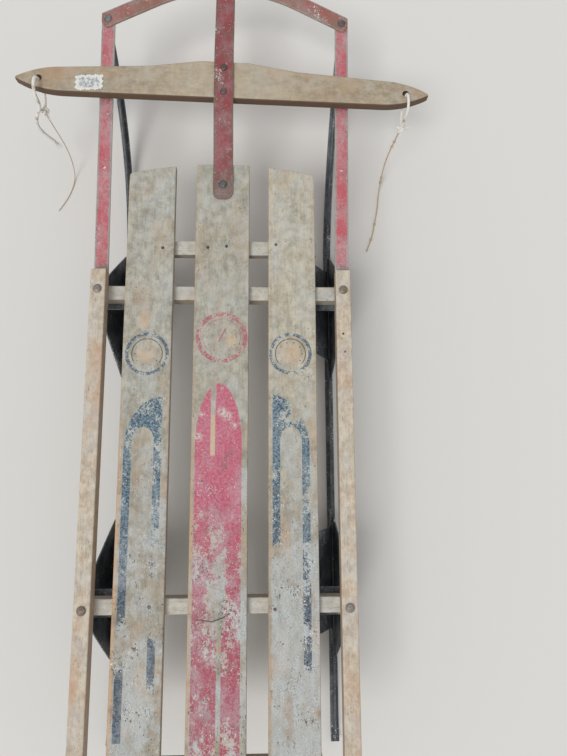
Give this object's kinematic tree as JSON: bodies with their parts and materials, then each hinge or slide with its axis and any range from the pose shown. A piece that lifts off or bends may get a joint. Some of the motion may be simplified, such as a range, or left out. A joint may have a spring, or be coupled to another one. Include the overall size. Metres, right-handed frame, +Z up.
{
  "type": "steerable runner sled",
  "caption": "Wooden snow sled with a slatted deck on steel knees and curled steel runners, steered by a crossbar that bends the runner fronts through a flat bumper.",
  "frame": {"origin": "middle of the overall footprint, on the floor under the runners", "axes": "+X to the rider's right, +Y forward along the sled, +Z up out of the deck"},
  "size_m": [0.5976, 1.1388, 0.1772],
  "materials": {
    "deck_wood": "weathered, worn varnish",
    "frame_wood": "weathered",
    "rail_wood": "worn varnish",
    "bar_wood": "weathered, worn varnish",
    "red_steel": "faded and chipped",
    "rusty_steel": "rusted paint",
    "black_steel": "worn black",
    "bolt_steel": "tarnished",
    "cotton": "dirty, twisted"
  },
  "bodies": {
    "frame": {"slat_left": "deck_wood", "slat_centre": "deck_wood", "slat_right": "deck_wood", "cleat_front": "deck_wood", "cleat_rear": "deck_wood", "bench_front": "frame_wood", "bench_rear": "frame_wood", "rail_left": "rail_wood", "runner_left": "black_steel", "knee_front_left": "black_steel", "knee_brace_front_left": "black_steel", "knee_rear_left": "black_steel", "knee_brace_rear_left": "black_steel", "rail_right": "rail_wood", "runner_right": "black_steel", "knee_front_right": "black_steel", "knee_brace_front_right": "black_steel", "knee_rear_right": "black_steel", "knee_brace_rear_right": "black_steel", "rail_bolts": "bolt_steel", "pivot_rivet": "bolt_steel"},
    "steering_lever": {"tiller_strap": "red_steel", "steering_bar": "bar_wood", "bar_rivets": "bolt_steel", "bumper_centre_rivet": "bolt_steel", "cord_left": "cotton", "cord_left_return": "cotton", "thread_left": "cotton", "knot_left": "cotton", "cord_right": "cotton", "cord_right_return": "cotton", "string_right": "cotton", "knot_right": "cotton"},
    "bumper": {"bumper": "rusty_steel"},
    "strap_left": {"side_strap_left": "red_steel", "bumper_rivet_left": "bolt_steel"},
    "runner_curl_left": {"runner_front_left": "black_steel"},
    "strap_right": {"side_strap_right": "red_steel", "bumper_rivet_right": "bolt_steel"},
    "runner_curl_right": {"runner_front_right": "black_steel"}
  },
  "joints": [
    {"name": "steering", "type": "hinge", "parent": "frame", "child": "steering_lever", "pos_m": [0, 0.22659, 0.15], "axis": [0, 0, 1], "range_deg": [-5, 5], "stiffness_Nm_per_rad": 20},
    {"name": "bumper_pivot", "type": "hinge", "parent": "steering_lever", "child": "bumper", "pos_m": [0, 0.55541, 0.145], "axis": [0, 0, 1], "range_deg": [-6, 6]},
    {"name": "strap_left_swing", "type": "hinge", "parent": "frame", "child": "strap_left", "pos_m": [-0.1675, 0.07059, 0.1413], "axis": [0, 0, 1], "range_deg": [-5, 5]},
    {"name": "runner_left_bend", "type": "hinge", "parent": "frame", "child": "runner_curl_left", "pos_m": [-0.163, 0.18859, 0.008], "axis": [0, 0, 1], "range_deg": [-6, 6]},
    {"name": "strap_right_swing", "type": "hinge", "parent": "frame", "child": "strap_right", "pos_m": [0.1675, 0.07059, 0.1413], "axis": [0, 0, 1], "range_deg": [-5, 5]},
    {"name": "runner_right_bend", "type": "hinge", "parent": "frame", "child": "runner_curl_right", "pos_m": [0.163, 0.18859, 0.008], "axis": [0, 0, 1], "range_deg": [-6, 6]}
  ],
  "couplings": [
    {"joint": "bumper_pivot", "follows": "steering", "ratio": -1},
    {"joint": "strap_left_swing", "follows": "steering", "ratio": 0.7764},
    {"joint": "runner_left_bend", "follows": "steering", "ratio": 1.0763},
    {"joint": "strap_right_swing", "follows": "steering", "ratio": 0.7764},
    {"joint": "runner_right_bend", "follows": "steering", "ratio": 1.0763}
  ]
}
